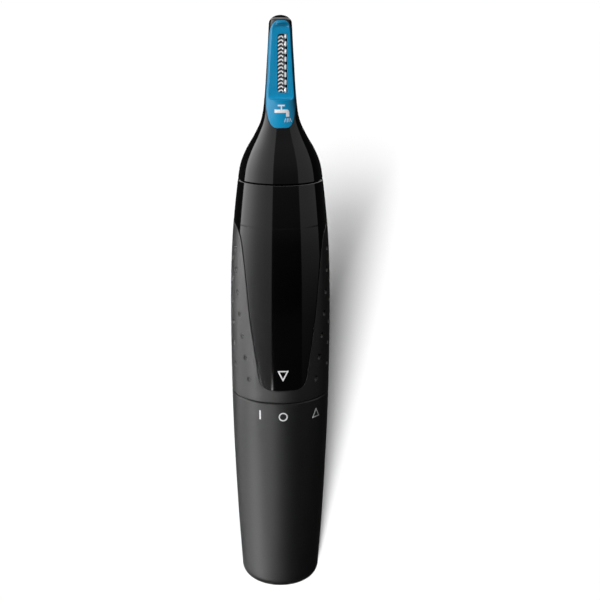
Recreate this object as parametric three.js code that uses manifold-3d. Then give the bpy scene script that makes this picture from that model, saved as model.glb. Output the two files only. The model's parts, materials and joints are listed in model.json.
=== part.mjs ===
// Nose hair trimmer: a battery powered trimmer with a slim tube that carries a reciprocating cutter.
// Millimetres, +Z up. It stands on its flat base: the origin is the middle of the base, the length runs
// along +Z to the tip, and the front, with the cutter slot and the switch marks, faces -Y.
// Azimuths are in degrees round +Z from the front, positive towards +X.

import * as THREE from 'three';
import { mergeVertices } from 'three/addons/utils/BufferGeometryUtils.js';
import Module from 'manifold-3d';

const wasm = await Module();
wasm.setup();

// ---- Driving dimensions -------------------------------------------------------------------------

const LENGTH = 146;
const BASE_EDGE = 3.4; // rounding where the flat base meets the side
const TIP_DOME = 2; // height of the rounded end of the tube
const SIDES = 32; // sides of the large round pieces
const SMALL_SIDES = 16; // sides of shafts, pins and screws

// The outer surface: radius at each height, joined by a smooth curve.
const SILHOUETTE = [
  [BASE_EDGE, 10.1], [21, 11.2], [44, 12.16], [66, 12.5], [82, 12.38], [92, 11.95], [99.4, 11.3],
  [107.2, 10.38], [111, 9.7], [114.3, 8.34], [118, 6.22], [121.5, 4.65], [126.3, 3.89],
  [135.8, 3.22], [LENGTH - TIP_DOME, 2.75],
];

const SWITCH_SEAM = 52.7; // between the battery base and the handle
const HEAD_SEAM = 107.2; // between the handle and the cutting head
const SEAM_GAP = 0.12;
const SEAM_CHAMFER = 0.18;

const HOUSING_WALL = 1.5;
const HANDLE_WALL = 2;
const GRIP_DEPTH = 0.9; // thickness of the soft grip on the handle shell
const NECK_WALL = 1.3;

const CELL_RADIUS = 7.25; // AA cell
const CELL_BOTTOM = 3.4;
const CELL_BODY = 49.5;
const CELL_NUB = 1;

const TWIST_ON = 27.6; // azimuth that the base turns through from off to on
const TWIST_UNLOCK = -43.6; // and from off to unlock

const COLLAR = { inner: 8.1, outer: 9.05, bottom: 43.9, shoulder: 50, top: 56.6 };
const RING = { inner: 9.25, outer: 10.15, bottom: 45, top: 49.6 };

const CHASSIS = { inner: 8.3, outer: 9.3, bottom: 56.8, top: 97.8 };
const BOSS = { x: 6.2, z: 92, radius: 2 };
const MOTOR = { radius: 7.75, half: 6, bottom: 62, top: 86, skin: 0.6 };
const SHAFT_RADIUS = 1;
const CAM = { hub: 2.9, bottom: 93, top: 100, pin: 0.7, pinTop: 105.4, throw: 0.9 };
const SOCKET = { inner: 6.6, outer: 7.7, bottom: 98, top: 109.5 };

const PIVOT = { x: -4.3, z: 113.2 }; // the rocker turns here, about an axis along Y
const FORK = { half: 2.85, tine: 1, bottom: 101.5, yoke: 106.5, top: 108 };
const ROD = { x: 0.37, width: 1.6, front: -0.4, back: 0.8 };
const HEAD_SCREWS = [[1.5, -4.6], [1.5, 4.6]]; // x and y

const SLOT = { left: -0.78, right: 1.52, bottom: 128.4, top: 142.1 };
const FACE = { bottom: 127, top: 145.2, depthBottom: 2.15, depthTop: 1.39 };
const GUARD_INSET = 0.15; // clearance between the guard and the neck round it

// ---- Materials ----------------------------------------------------------------------------------

const finish = (color, roughness, metalness = 0) => ({ color, roughness, metalness });
const GLOSS_BLACK = finish('#070708', 0.08);
const SATIN_BLACK = finish('#1b1b1d', 0.5);
const SOFT_BLACK = finish('#1e1e20', 0.6);
const BLUE = finish('#0089c4', 0.3);
const STEEL = finish('#b9bcc0', 0.25, 1);
const BRASS = finish('#b8923f', 0.35, 1);
const COPPER = finish('#a5623a', 0.4, 1);
const DARK_PLASTIC = finish('#2a2c2f', 0.55);
const WHITE_PLASTIC = finish('#d9d9d4', 0.45);
const RUBBER = finish('#141414', 0.85);
const CELL_WRAP = finish('#3d4a42', 0.35, 0.4);
const FERRITE = finish('#3a3a3c', 0.8, 0.2);

// ---- Solids -------------------------------------------------------------------------------------

const radians = (degrees) => (degrees * Math.PI) / 180;

// A closed geometry as a manifold solid, facing out, with its flat triangles dropped.
function solid(geometry) {
  const bare = geometry.clone();
  bare.deleteAttribute('normal');
  bare.deleteAttribute('uv');
  const merged = mergeVertices(bare, 1e-5);
  const position = merged.attributes.position.array;
  const corner = (i) => new THREE.Vector3().fromArray(position, i * 3);
  const triangles = [];
  let volume = 0;
  for (let i = 0; i < merged.index.count; i += 3) {
    const [a, b, c] = [0, 1, 2].map((k) => merged.index.getX(i + k));
    if (a === b || b === c || c === a) continue;
    volume += corner(a).dot(corner(b).cross(corner(c)));
    triangles.push([a, b, c]);
  }
  const facing = volume < 0 ? triangles.map(([a, b, c]) => [a, c, b]) : triangles;
  const triVerts = new Uint32Array(facing.flat());
  return new wasm.Manifold(new wasm.Mesh({ numProp: 3, vertProperties: position, triVerts }));
}

// Turns [radius, height] points about Z. The outline closes on itself or starts and ends on the axis.
function revolve(outline, sides = SIDES) {
  const points = outline.map(([r, z]) => new THREE.Vector2(r, z));
  const onAxis = outline[0][0] === 0 && outline.at(-1)[0] === 0;
  if (!onAxis) points.push(points[0].clone());
  return solid(new THREE.LatheGeometry(points, sides).rotateX(Math.PI / 2));
}

function ring(inner, outer, bottom, top, sides = SIDES) {
  return revolve([[inner, bottom], [outer, bottom], [outer, top], [inner, top]], sides);
}

function disc(radius, bottom, top, sides = SIDES) {
  return revolve([[0, bottom], [radius, bottom], [radius, top], [0, top]], sides);
}

function box(x0, x1, y0, y1, z0, z1) {
  const geometry = new THREE.BoxGeometry(x1 - x0, y1 - y0, z1 - z0);
  return solid(geometry.translate((x0 + x1) / 2, (y0 + y1) / 2, (z0 + z1) / 2));
}

// A round bar along Y.
function crossBar(radius, x, z, y0, y1, sides = SMALL_SIDES) {
  const geometry = new THREE.CylinderGeometry(radius, radius, y1 - y0, sides);
  return solid(geometry.translate(x, (y0 + y1) / 2, z));
}

// A shape drawn in XY, raised from one height to another.
function upright(shape, bottom, top, curveSegments = 8) {
  const options = { depth: top - bottom, bevelEnabled: false, curveSegments };
  return solid(new THREE.ExtrudeGeometry(shape, options).translate(0, 0, bottom));
}

// A shape drawn in XZ, as seen from the front, and carried through from one y to another.
function through(shape, y0, y1, curveSegments = 8) {
  const options = { depth: y1 - y0, bevelEnabled: false, curveSegments };
  return solid(new THREE.ExtrudeGeometry(shape, options).rotateX(Math.PI / 2).translate(0, y1, 0));
}

function polygon(points) {
  return new THREE.Shape(points.map(([x, y]) => new THREE.Vector2(x, y)));
}

// A piece of a round wall between two azimuths.
function arcWall(inner, outer, bottom, top, azimuth0, azimuth1) {
  const [start, end] = [radians(azimuth0 - 90), radians(azimuth1 - 90)];
  const shape = new THREE.Shape();
  shape.absarc(0, 0, outer, start, end, false);
  shape.absarc(0, 0, inner, end, start, true);
  return upright(shape, bottom, top, 6);
}

const join = (...solids) => solids.reduce((a, b) => a.add(b));
const cut = (body, ...tools) => tools.reduce((a, b) => a.subtract(b), body);
const turned = (body, azimuth) => body.rotate([0, 0, azimuth]);

// Radius of the outer surface at a height, by cubic curves between the stations of SILHOUETTE.
function skin(z) {
  const n = SILHOUETTE.length;
  const slope = (i) => {
    const [before, after] = [SILHOUETTE[Math.max(i - 1, 0)], SILHOUETTE[Math.min(i + 1, n - 1)]];
    return (after[1] - before[1]) / (after[0] - before[0]);
  };
  let i = 0;
  while (i < n - 2 && z > SILHOUETTE[i + 1][0]) i++;
  const [[z0, r0], [z1, r1]] = [SILHOUETTE[i], SILHOUETTE[i + 1]];
  const h = z1 - z0;
  const t = (z - z0) / h;
  const straight = r0 + (r1 - r0) * t;
  const bend0 = (slope(i) * h - (r1 - r0)) * t * (1 - t) ** 2;
  const bend1 = (slope(i + 1) * h - (r1 - r0)) * t ** 2 * (t - 1);
  return straight + bend0 + bend1;
}

// The outer surface, or one set in from it, as [radius, height] points.
function wall(bottom, top, inset, steps) {
  return Array.from({ length: steps + 1 }, (_, i) => {
    const z = bottom + ((top - bottom) * i) / steps;
    return [skin(z) - inset, z];
  });
}

// Part of an oval as [radius, height] points, from one direction to another about its middle.
function arc(r, z, [across, up], [from, to], steps) {
  return Array.from({ length: steps + 1 }, (_, i) => {
    const angle = radians(from + ((to - from) * i) / steps);
    return [r + across * Math.cos(angle), z + up * Math.sin(angle)];
  });
}

// ---- Battery base -------------------------------------------------------------------------------

function batteryHousing() {
  const top = SWITCH_SEAM - SEAM_GAP / 2;
  const floor = 1.8;
  const shell = revolve([
    [0, 0],
    ...arc(skin(BASE_EDGE) - BASE_EDGE, BASE_EDGE, [BASE_EDGE, BASE_EDGE], [-90, 0], 5),
    ...wall(9, top - SEAM_CHAMFER, 0, 5),
    [skin(top) - SEAM_CHAMFER, top],
    ...wall(floor + 1, top, HOUSING_WALL, 5).reverse(),
    [skin(floor) - HOUSING_WALL - 1, floor],
    [0, floor],
  ]);
  const inside = revolve([[0, floor + 0.1], ...wall(floor + 0.1, 50.5, 0.5, 5), [0, 50.5]]);
  const cellRib = box(CELL_RADIUS + 0.2, 12, -0.5, 0.5, floor + 0.1, 36);
  const driveKey = box(9.75, 12, -0.9, 0.9, 40, 49.8);
  const ribs = [45, 135, 225, 315].map((azimuth) => turned(cellRib, azimuth));
  const keys = [0, 180].map((azimuth) => turned(driveKey, azimuth));
  return join(shell, ...[...ribs, ...keys].map((rib) => rib.intersect(inside)));
}

function batteryCell() {
  const shoulder = CELL_BOTTOM + CELL_BODY;
  return revolve([
    [0, CELL_BOTTOM], [CELL_RADIUS - 0.5, CELL_BOTTOM], [CELL_RADIUS, CELL_BOTTOM + 0.5],
    [CELL_RADIUS, shoulder - 0.5], [CELL_RADIUS - 0.5, shoulder], [2.75, shoulder],
    [2.75, shoulder + CELL_NUB], [0, shoulder + CELL_NUB],
  ], 24);
}

// A flat conical coil of wire.
function baseSpring() {
  const [turns, steps, wire] = [2.25, 36, 0.3];
  const points = Array.from({ length: steps + 1 }, (_, i) => {
    const t = i / steps;
    const angle = t * turns * 2 * Math.PI;
    const r = 5.6 - 3.2 * t;
    return new THREE.Vector3(r * Math.cos(angle), r * Math.sin(angle), 2.15 + 0.85 * t);
  });
  const section = new THREE.Shape().absarc(0, 0, wire, 0, 2 * Math.PI, false);
  const extrudePath = new THREE.CatmullRomCurve3(points);
  return solid(new THREE.ExtrudeGeometry(section, { extrudePath, steps, curveSegments: 2 }));
}

// A strip that runs out over the floor and up the back wall.
function housingContactStrip() {
  const [thickness, clearance, half, start] = [0.4, 0.3, 1.5, 6.2];
  const [under, over, bend, top] = [2, 2.4, 4, 44];
  const shape = polygon([
    [start, under], [7, under],
    ...wall(bend, top, HOUSING_WALL + clearance, 3),
    ...wall(bend, top, HOUSING_WALL + clearance + thickness, 3).reverse(),
    [6.8, over], [start, over],
  ]);
  return turned(through(shape, -half, half), 90);
}

// ---- Rotary switch ring -------------------------------------------------------------------------

const LUG_AZIMUTH = 180 - TWIST_ON; // the wiper meets its contact, at the back, when the base is on

function switchRing() {
  const body = ring(RING.inner, RING.outer, RING.bottom, RING.top);
  const notch = box(9.6, 12, -1.1, 1.1, RING.bottom - 1, RING.top + 1);
  const lug = arcWall(8.4, RING.inner + 0.4, 45.9, 48.3, LUG_AZIMUTH - 4, LUG_AZIMUTH + 4);
  return join(cut(body, notch, turned(notch, 180)), lug);
}

function switchWiper() {
  return arcWall(8.18, 8.34, 46.2, 48, LUG_AZIMUTH - 3.5, LUG_AZIMUTH + 3.5);
}

// ---- Handle -------------------------------------------------------------------------------------

// The spigot that the base slides over. The window at the back lets the lug turn between its stops.
function switchCollar() {
  const { inner, outer, bottom, shoulder, top } = COLLAR;
  const body = revolve([
    [inner, bottom], [9.6, bottom], [9.6, bottom + 0.8], [outer, bottom + 0.9], [outer, shoulder],
    [9.85, shoulder + 0.1], [9.85, 51], [9.3, 51.1], [9.3, 52.6], [10, 52.7], [10, top],
    [0, top], [0, top - 1.2], [inner, top - 1.2],
  ]);
  const from = LUG_AZIMUTH + TWIST_UNLOCK - 5;
  const window = arcWall(inner - 0.4, 11, 45.6, 48.6, from, LUG_AZIMUTH + TWIST_ON + 5);
  const plusSlot = box(4.6, 6.4, -2.2, 2.2, top - 2, top + 1);
  const minusSlot = box(-1.8, 1.8, 7.2, 8.1, 50, top + 1);
  return cut(body, window, plusSlot, minusSlot);
}

function handleShell() {
  const bottom = SWITCH_SEAM + SEAM_GAP / 2;
  const top = HEAD_SEAM - SEAM_GAP / 2;
  const step = 0.1;
  const under = revolve([
    ...wall(bottom, 98, GRIP_DEPTH + step, 5),
    ...wall(bottom, 98, HANDLE_WALL, 5).reverse(),
  ]);
  const full = revolve([
    ...wall(bottom, top - SEAM_CHAMFER, 0, 6),
    [skin(top) - SEAM_CHAMFER, top],
    [7.95, top],
    [7.95, top - 1.4],
    ...wall(bottom, top - 1.4, HANDLE_WALL, 6).reverse(),
  ]);
  return join(under, full.intersect(through(panelOutline(GUARD_INSET), -14, 14, 2)));
}

// The handle's glossy panel as seen from the front: narrow at the switch, wider towards the head,
// where it sweeps out over the ends of the grip.
function panelOutline(inset) {
  const bottom = 56.1 + inset;
  const corner = 3;
  const shape = new THREE.Shape();
  const edge = [
    [5.9 - inset, bottom + corner], [6.6 - inset, 64], [8 - inset, 74], [9 - inset, 84],
    [9.6 - inset, 90.5], [10 - inset, 93.4], [10.9 - inset * 0.7, 95.4 + inset * 0.7],
    [13.5, 96.6 + inset],
  ].map(([x, z]) => new THREE.Vector2(x, z));
  const mirrored = edge.map((p) => new THREE.Vector2(-p.x, p.y)).reverse();
  shape.moveTo(-edge[0].x + corner * 0.95, bottom);
  shape.lineTo(edge[0].x - corner * 0.95, bottom);
  shape.quadraticCurveTo(edge[0].x - 0.1, bottom, edge[0].x, edge[0].y);
  shape.splineThru(edge.slice(1));
  shape.lineTo(13.5, 110);
  shape.lineTo(-13.5, 110);
  shape.lineTo(-13.5, 96.6 + inset);
  shape.splineThru(mirrored.slice(1));
  shape.quadraticCurveTo(-edge[0].x + 0.1, bottom, -edge[0].x + corner * 0.95, bottom);
  return shape;
}

function gripSleeve() {
  const bottom = SWITCH_SEAM + SEAM_GAP / 2;
  const sleeve = revolve([
    [skin(bottom) - GRIP_DEPTH, bottom],
    [skin(bottom) - SEAM_CHAMFER, bottom],
    ...wall(bottom + SEAM_CHAMFER, 97.8, 0, 6),
    ...wall(bottom, 97.8, GRIP_DEPTH, 6).reverse().slice(0, -1),
  ]);
  return cut(sleeve, through(panelOutline(0), -14, 14, 2));
}

function oRing(middle, wire, z) {
  return revolve(arc(middle, z, [wire, wire], [0, 300], 5), 24);
}

// Half of the motor's cradle. The front half takes the screw heads and the rear half their threads.
function chassisHalf(front) {
  const side = front ? -1 : 1;
  const [near, far] = [0.1 * side, 12 * side];
  const slab = (x0, x1, z0, z1) => box(x0, x1, Math.min(near, far), Math.max(near, far), z0, z1);
  const tube = ring(CHASSIS.inner, CHASSIS.outer, CHASSIS.bottom, CHASSIS.top);
  const bulkhead = ring(3.3, CHASSIS.inner + 0.3, 88, 89.2);
  const boss = (x) => crossBar(BOSS.radius, x, BOSS.z, -8.4, 8.4);
  const body = join(tube, bulkhead, boss(-BOSS.x), boss(BOSS.x)).intersect(disc(CHASSIS.outer, 50, 100));
  const holes = [-BOSS.x, BOSS.x].map((x) => {
    const shank = crossBar(1, x, BOSS.z, -9, 5);
    return join(shank, crossBar(1.8, x, BOSS.z, -12, -4.6));
  });
  return cut(body.intersect(slab(-12, 12, 50, 100)), ...holes);
}

function chassisScrew(x) {
  return join(crossBar(0.85, x, BOSS.z, -5, 4.4, 12), crossBar(1.6, x, BOSS.z, -6, -4.8));
}

// A battery contact: a round pad under the plate and a tab that comes up through it to the motor.
function positiveContact() {
  const z = CELL_BOTTOM + CELL_BODY + CELL_NUB + 0.1;
  const pad = disc(2.6, z, z + 0.4, 16);
  return join(pad, box(0, 5.7, -1.3, 1.3, z, z + 0.4), box(5.3, 5.7, -1.3, 1.3, z, 58.8));
}

function negativeContact() {
  return join(box(-1.5, 1.5, 7.5, 7.9, 46, 57.6), box(-1.5, 1.5, 3.2, 7.9, 57.2, 57.6));
}

// ---- Motor --------------------------------------------------------------------------------------

// A circle with two flats, at the front and the back.
function flattedCircle(radius, half) {
  const angle = Math.asin(half / radius);
  const shape = new THREE.Shape();
  shape.absarc(0, 0, radius, -angle, angle, false);
  shape.absarc(0, 0, radius, Math.PI - angle, Math.PI + angle, false);
  shape.closePath();
  return shape;
}

function motorCan() {
  const { radius, half, bottom, top, skin: thickness } = MOTOR;
  const outer = upright(flattedCircle(radius, half), bottom, top);
  const inner = upright(flattedCircle(radius - thickness, half - thickness), bottom - 1, top - thickness);
  return cut(outer, inner, disc(1.9, top - 2, top + 1, SMALL_SIDES));
}

function motorEndCap() {
  const plan = flattedCircle(MOTOR.radius - 0.1, MOTOR.half - 0.1);
  const cap = upright(plan, MOTOR.bottom - 2.3, MOTOR.bottom - 0.1);
  const terminalSlots = [-5, 5].map((x) => box(x - 0.5, x + 0.5, -1.3, 1.3, 58, 63));
  return cut(cap, disc(SHAFT_RADIUS + 0.08, 58, 63, SMALL_SIDES), ...terminalSlots);
}

function motorBearing() {
  return ring(SHAFT_RADIUS + 0.08, 1.75, MOTOR.top - 1.6, MOTOR.top + 1.2, SMALL_SIDES);
}

function magnet(side) {
  const middle = side > 0 ? 90 : -90;
  const body = arcWall(5.5, 7, 66, 81, middle - 42, middle + 42);
  return body.intersect(box(-9, 9, -5.2, 5.2, 60, 90));
}

function brush(side) {
  const [near, far] = [2.35 * side, 2.75 * side];
  return box(Math.min(near, far), Math.max(near, far), -0.9, 0.9, MOTOR.bottom + 0.1, MOTOR.bottom + 2.9);
}

function terminal(side) {
  const x = 5 * side;
  return box(x - 0.25, x + 0.25, -1.1, 1.1, MOTOR.bottom - 3, MOTOR.bottom + 0.8);
}

function motorShaft() {
  return disc(SHAFT_RADIUS, MOTOR.bottom - 2.2, CAM.top - 1.5, SMALL_SIDES);
}

const POLES = [0, 120, 240];
const CORE = { bottom: 66, top: 81, neck: 1.1, radius: 4.9 };

// Three pole shoes on necks round a hub that fits the shaft.
function rotorCore() {
  const { bottom, top, neck, radius } = CORE;
  const hub = disc(1.9, bottom, top, SMALL_SIDES);
  const arm = box(1, radius - 0.6, -neck, neck, bottom, top);
  const pole = join(arm, arcWall(3.9, radius, bottom, top, 44, 136));
  const core = join(hub, ...POLES.map((azimuth) => turned(pole, azimuth)));
  return cut(core, disc(SHAFT_RADIUS + 0.1, bottom - 1, top + 1, SMALL_SIDES));
}

function winding(azimuth) {
  const { bottom, top, neck } = CORE;
  const coil = cut(
    box(2.1, 3.3, -neck - 0.8, neck + 0.8, bottom - 0.9, top + 0.9),
    box(1.5, 4, -neck - 0.1, neck + 0.1, bottom - 0.1, top + 0.1),
  );
  return turned(coil, azimuth);
}

function commutator() {
  return ring(SHAFT_RADIUS + 0.1, 2.2, MOTOR.bottom + 0.3, MOTOR.bottom + 2.7, SMALL_SIDES);
}

// The hub on the shaft with the pin that orbits inside the rocker's fork.
function driveCam() {
  const hub = cut(
    disc(CAM.hub, CAM.bottom, CAM.top, SMALL_SIDES),
    disc(SHAFT_RADIUS + 0.1, CAM.bottom - 1, CAM.top - 1.3, SMALL_SIDES),
  );
  const pin = disc(CAM.pin, CAM.top - 0.5, CAM.pinTop, 14).translate([0, -CAM.throw, 0]);
  return join(hub, pin);
}

// ---- Head socket and its seals ------------------------------------------------------------------

function headSocket() {
  const { inner, outer, bottom, top } = SOCKET;
  return revolve([
    [4.5, bottom], [9.1, bottom], [9.1, bottom + 1.2], [outer, bottom + 1.3], [outer, 107.4],
    [outer - 0.4, 107.5], [outer - 0.4, 108.5], [outer, 108.6], [outer, top - 0.4], [outer - 0.4, top],
    [inner, top], [inner, bottom + 1.5], [4.5, bottom + 1.5],
  ]);
}

function shaftSeal() {
  return ring(CAM.hub + 0.15, 4.35, SOCKET.bottom, SOCKET.bottom + 1.3, 24);
}

// ---- Cutting head -------------------------------------------------------------------------------

// The blue front of the tube as seen from the front, rounded at both ends.
function guardOutline(grow) {
  const shape = new THREE.Shape();
  const [bottom, top, half] = [120 - grow, 144.9 + grow, 2.3 + grow];
  shape.moveTo(0, bottom);
  shape.bezierCurveTo(2.2, bottom, 3.5 + grow, bottom + 1.6, 3.7 + grow, bottom + 5);
  shape.lineTo(3.7 + grow, 136);
  shape.bezierCurveTo(3.7 + grow, 140, 3 + grow, top - 2, half, top - 1.1);
  shape.quadraticCurveTo(half - 0.7, top, 0, top);
  shape.quadraticCurveTo(-half + 0.7, top, -half, top - 1.1);
  shape.bezierCurveTo(-3 - grow, top - 2, -3.7 - grow, 140, -3.7 - grow, 136);
  shape.lineTo(-3.7 - grow, bottom + 5);
  shape.bezierCurveTo(-3.5 - grow, bottom + 1.6, -2.2, bottom, 0, bottom);
  return shape;
}

// The inside of the neck and tube, kept clear for the rocker, the rod and the blade.
function neckHollow(bottom) {
  return revolve([
    [0, bottom], ...wall(bottom, 119, NECK_WALL, 5), [3, 123.5], [2.05, 137], [1.95, 144], [0, 144],
  ]);
}

function neckSolid() {
  const dome = LENGTH - TIP_DOME;
  return revolve([
    [0, HEAD_SEAM + SEAM_GAP / 2],
    [skin(HEAD_SEAM) - SEAM_CHAMFER, HEAD_SEAM + SEAM_GAP / 2],
    ...wall(HEAD_SEAM + SEAM_GAP / 2 + SEAM_CHAMFER, 121.5, 0, 8),
    ...wall(126, 141, 0, 2),
    ...arc(0, dome, [skin(dome), TIP_DOME], [0, 90], 5).slice(0, -1),
    [0, LENGTH],
  ]);
}

function neckHousing() {
  const shell = cut(neckSolid(), neckHollow(HEAD_SEAM - 1));
  const boss = revolve([[0, 111.35], [1.4, 111.35], [1.4, 117.5], [0, 117.5]], SMALL_SIDES);
  const hole = disc(0.85, 111, 116, SMALL_SIDES);
  const bosses = HEAD_SCREWS.map(([x, y]) => boss.translate([x, y, 0]).intersect(neckSolid()));
  const holes = HEAD_SCREWS.map(([x, y]) => hole.translate([x, y, 0]));
  const front = through(guardOutline(GUARD_INSET), -12, -0.35, 3);
  return cut(join(shell, ...bosses), ...holes, front);
}

// The flat, slightly tilted face that is cut into the front of the guard, with the cutter slot.
function guardFace() {
  const body = neckSolid().intersect(through(guardOutline(0), -12, -0.5, 3));
  const inside = join(neckHollow(119), box(-1.85, 1.85, -1.4, 0, 127, 143.6));
  const face = polygon([
    [-FACE.depthBottom, FACE.bottom], [-FACE.depthTop, FACE.top], [-9, FACE.top], [-9, FACE.bottom],
  ]);
  const pocket = turned(through(face, -5, 5), 90);
  const slot = box(SLOT.left, SLOT.right, -9, 0, SLOT.bottom, SLOT.top);
  return cut(body, inside, pocket, slot);
}

// The plate at the bottom of the head, with the skirt that clips on the socket and the rocker's ears.
function headChassis() {
  const plate = disc(8.05, 110, 111.2);
  const skirt = ring(7.95, 8.4, 108.8, 110.2);
  const opening = box(-5.8, 4.2, -1.5, 1.5, 109, 112);
  const ears = [[-2.9, -1.6], [1.6, 2.9]].map(([y0, y1]) => box(-5.5, -3.1, y0, y1, 111, 114.7));
  const pinHole = crossBar(0.85, PIVOT.x, PIVOT.z, -4, 4);
  const screwHoles = HEAD_SCREWS.map(([x, y]) => disc(0.9, 109, 112, SMALL_SIDES).translate([x, y, 0]));
  return cut(join(cut(join(plate, skirt), opening), ...ears), pinHole, ...screwHoles);
}

function headScrew([x, y]) {
  const screw = join(disc(0.7, 109.5, 115.5, 12), disc(1.4, 108.9, 109.85, SMALL_SIDES));
  return screw.translate([x, y, 0]);
}

function rockerPin() {
  return crossBar(0.75, PIVOT.x, PIVOT.z, -3.1, 3.1);
}

// The bell crank: a fork over the cam's pin, and an arm that lifts and lowers the rod.
function rocker() {
  const half = 1.3;
  const outer = FORK.half + FORK.tine;
  const lever = polygon([
    [PIVOT.x - 1.3, PIVOT.z - 1], [PIVOT.x - 0.6, 109.5], [-outer, FORK.top], [-outer, FORK.bottom],
    [-FORK.half, FORK.bottom], [-FORK.half, FORK.yoke], [FORK.half, FORK.yoke], [FORK.half, FORK.bottom],
    [outer, FORK.bottom], [outer, FORK.yoke + 0.7], [outer - 1, FORK.top], [-0.6, FORK.top],
    [PIVOT.x + 1.4, 110.5], [PIVOT.x + 1.5, PIVOT.z - 0.7], [-0.9, PIVOT.z - 0.7], [-0.9, PIVOT.z + 0.7],
    [PIVOT.x, PIVOT.z + 0.8],
  ]);
  const boss = crossBar(1.6, PIVOT.x, PIVOT.z, -half, half);
  const arm = box(-1.2, 0.1, -0.45, 0.45, PIVOT.z - 0.6, PIVOT.z + 0.6);
  const tip = crossBar(0.7, 0, PIVOT.z, -0.45, 0.45, 12);
  return cut(join(through(lever, -half, half), boss, arm, tip), crossBar(0.83, PIVOT.x, PIVOT.z, -3, 3));
}

// The rod's foot is a yoke round the rocker's tip, and its flat upper end carries the blade.
function pushRod() {
  const { x, width, front, back } = ROD;
  const foot = box(-0.75, x + width / 2, -1.5, 1.5, 111.8, 115.2);
  const grip = box(-2, 0.95, -0.65, 0.65, PIVOT.z - 0.85, PIVOT.z + 0.85);
  const stem = box(x - width / 2, x + width / 2, front, back, 114.8, 141.5);
  return cut(join(foot, stem), grip);
}

// A row of chevron teeth down the left edge of a plate behind the comb.
function movingBlade() {
  const [y0, y1, pitch, bottom, teeth] = [-0.85, -0.5, 1.8, 129, 7];
  const plate = box(-0.1, 1.3, y0, y1, 128.2, 142.2);
  const tooth = (z) => polygon([[0, z + 0.1], [0, z - 0.75], [-0.95, z + 0.2], [-0.95, z + 0.75]]);
  const rows = Array.from({ length: teeth }, (_, i) => through(tooth(bottom + 0.8 + i * pitch), y0, y1));
  return join(plate, ...rows);
}

// The steel plate right behind the slot, with a row of openings that the teeth sweep across.
function fixedComb() {
  const [y0, y1, pitch] = [-1.3, -1, 1.8];
  const plate = box(-1.25, 1.75, y0, y1, 127.6, 143.1);
  const openings = Array.from({ length: 8 }, (_, i) => {
    const z = 128.7 + i * pitch;
    return box(-0.7, 0.75, y0 - 1, y1 + 1, z, z + 1.05);
  });
  return cut(plate, ...openings);
}

function bladeSpring() {
  return box(-0.6, 1.2, 1.2, 1.4, 127.6, 140);
}

// ---- Assembly -----------------------------------------------------------------------------------

const trimmer = new THREE.Group();

function place(group, name, body, look) {
  const { vertProperties, triVerts } = body.getMesh();
  const geometry = new THREE.BufferGeometry();
  geometry.setAttribute('position', new THREE.BufferAttribute(vertProperties, 3));
  geometry.setIndex(new THREE.BufferAttribute(triVerts, 1));
  geometry.computeVertexNormals();
  const mesh = new THREE.Mesh(geometry, new THREE.MeshStandardMaterial(look));
  mesh.name = name;
  group.add(mesh);
}

function section() {
  const group = new THREE.Group();
  trimmer.add(group);
  return group;
}

const base = section();
place(base, 'battery_housing', batteryHousing(), SATIN_BLACK);
place(base, 'battery_cell', batteryCell(), CELL_WRAP);
place(base, 'base_spring', baseSpring(), STEEL);
place(base, 'housing_contact_strip', housingContactStrip(), BRASS);

const rotarySwitch = section();
place(rotarySwitch, 'switch_ring', switchRing(), DARK_PLASTIC);
place(rotarySwitch, 'switch_wiper', switchWiper(), BRASS);

const handle = section();
place(handle, 'handle_shell', handleShell(), GLOSS_BLACK);
place(handle, 'grip_sleeve', gripSleeve(), SOFT_BLACK);
place(handle, 'switch_collar', switchCollar(), DARK_PLASTIC);
place(handle, 'base_seal', oRing(9.98, 0.6, 51.85), RUBBER);
place(handle, 'chassis_front', chassisHalf(true), WHITE_PLASTIC);
place(handle, 'chassis_rear', chassisHalf(false), WHITE_PLASTIC);
place(handle, 'chassis_screw_left', chassisScrew(-BOSS.x), STEEL);
place(handle, 'chassis_screw_right', chassisScrew(BOSS.x), STEEL);
place(handle, 'positive_contact', positiveContact(), BRASS);
place(handle, 'negative_contact', negativeContact(), BRASS);
place(handle, 'motor_can', motorCan(), STEEL);
place(handle, 'motor_end_cap', motorEndCap(), DARK_PLASTIC);
place(handle, 'motor_bearing', motorBearing(), BRASS);
place(handle, 'magnet_left', magnet(-1), FERRITE);
place(handle, 'magnet_right', magnet(1), FERRITE);
place(handle, 'brush_left', brush(-1), BRASS);
place(handle, 'brush_right', brush(1), BRASS);
place(handle, 'terminal_left', terminal(-1), BRASS);
place(handle, 'terminal_right', terminal(1), BRASS);
place(handle, 'head_socket', headSocket(), DARK_PLASTIC);
place(handle, 'shaft_seal', shaftSeal(), RUBBER);
place(handle, 'neck_seal', oRing(7.95, 0.45, 108), RUBBER);

const rotor = section();
place(rotor, 'motor_shaft', motorShaft(), STEEL);
place(rotor, 'rotor_core', rotorCore(), FERRITE);
POLES.forEach((azimuth, i) => place(rotor, `winding_${i + 1}`, winding(azimuth), COPPER));
place(rotor, 'commutator', commutator(), COPPER);
place(rotor, 'drive_cam', driveCam(), WHITE_PLASTIC);

const head = section();
place(head, 'neck_housing', neckHousing(), GLOSS_BLACK);
place(head, 'guard_face', guardFace(), BLUE);
place(head, 'head_chassis', headChassis(), DARK_PLASTIC);
place(head, 'head_screw_front', headScrew(HEAD_SCREWS[0]), STEEL);
place(head, 'head_screw_rear', headScrew(HEAD_SCREWS[1]), STEEL);
place(head, 'rocker_pin', rockerPin(), STEEL);
place(head, 'fixed_comb', fixedComb(), STEEL);
place(head, 'blade_spring', bladeSpring(), STEEL);

place(section(), 'rocker', rocker(), WHITE_PLASTIC);

const cutter = section();
place(cutter, 'push_rod', pushRod(), DARK_PLASTIC);
place(cutter, 'moving_blade', movingBlade(), STEEL);

export default trimmer;
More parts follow.
